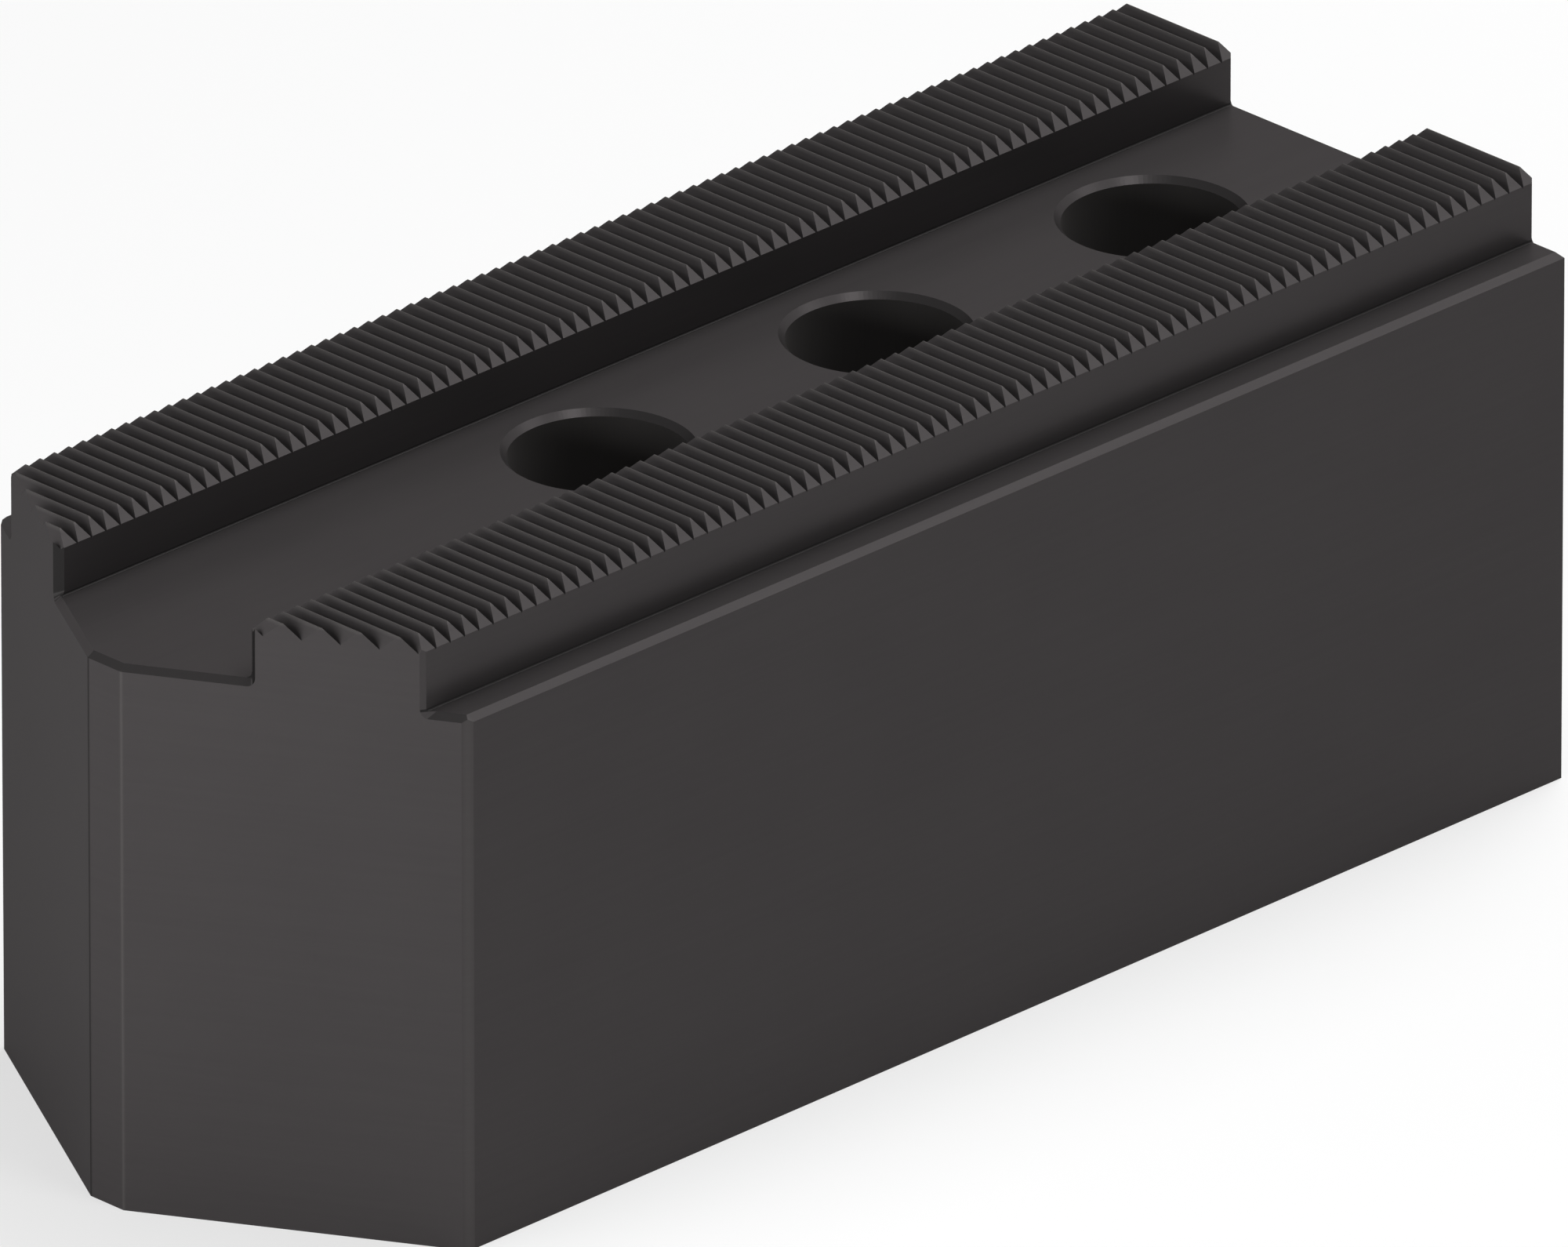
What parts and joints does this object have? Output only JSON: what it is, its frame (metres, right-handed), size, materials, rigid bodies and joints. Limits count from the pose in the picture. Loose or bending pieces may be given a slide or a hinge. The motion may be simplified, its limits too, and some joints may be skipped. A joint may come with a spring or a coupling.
{
  "type": "machinable soft jaw",
  "caption": "Pointed steel soft jaw with serrated lands, a key channel and sunk screw holes, machined to shape to grip work in a lathe chuck.",
  "frame": {"origin": "middle of the plain face's bounding box, which is the face the jaw rests on", "axes": "+X along the jaw from the pointed gripping end to the flat rear end, +Z from the plain face to the serrated face, +Y across the jaw"},
  "size_m": [0.13, 0.05, 0.05],
  "materials": {
    "black_steel": "satin black oxide over milled and ground steel"
  },
  "bodies": {
    "root": {"soft_jaw": "black_steel"}
  },
  "joints": []
}
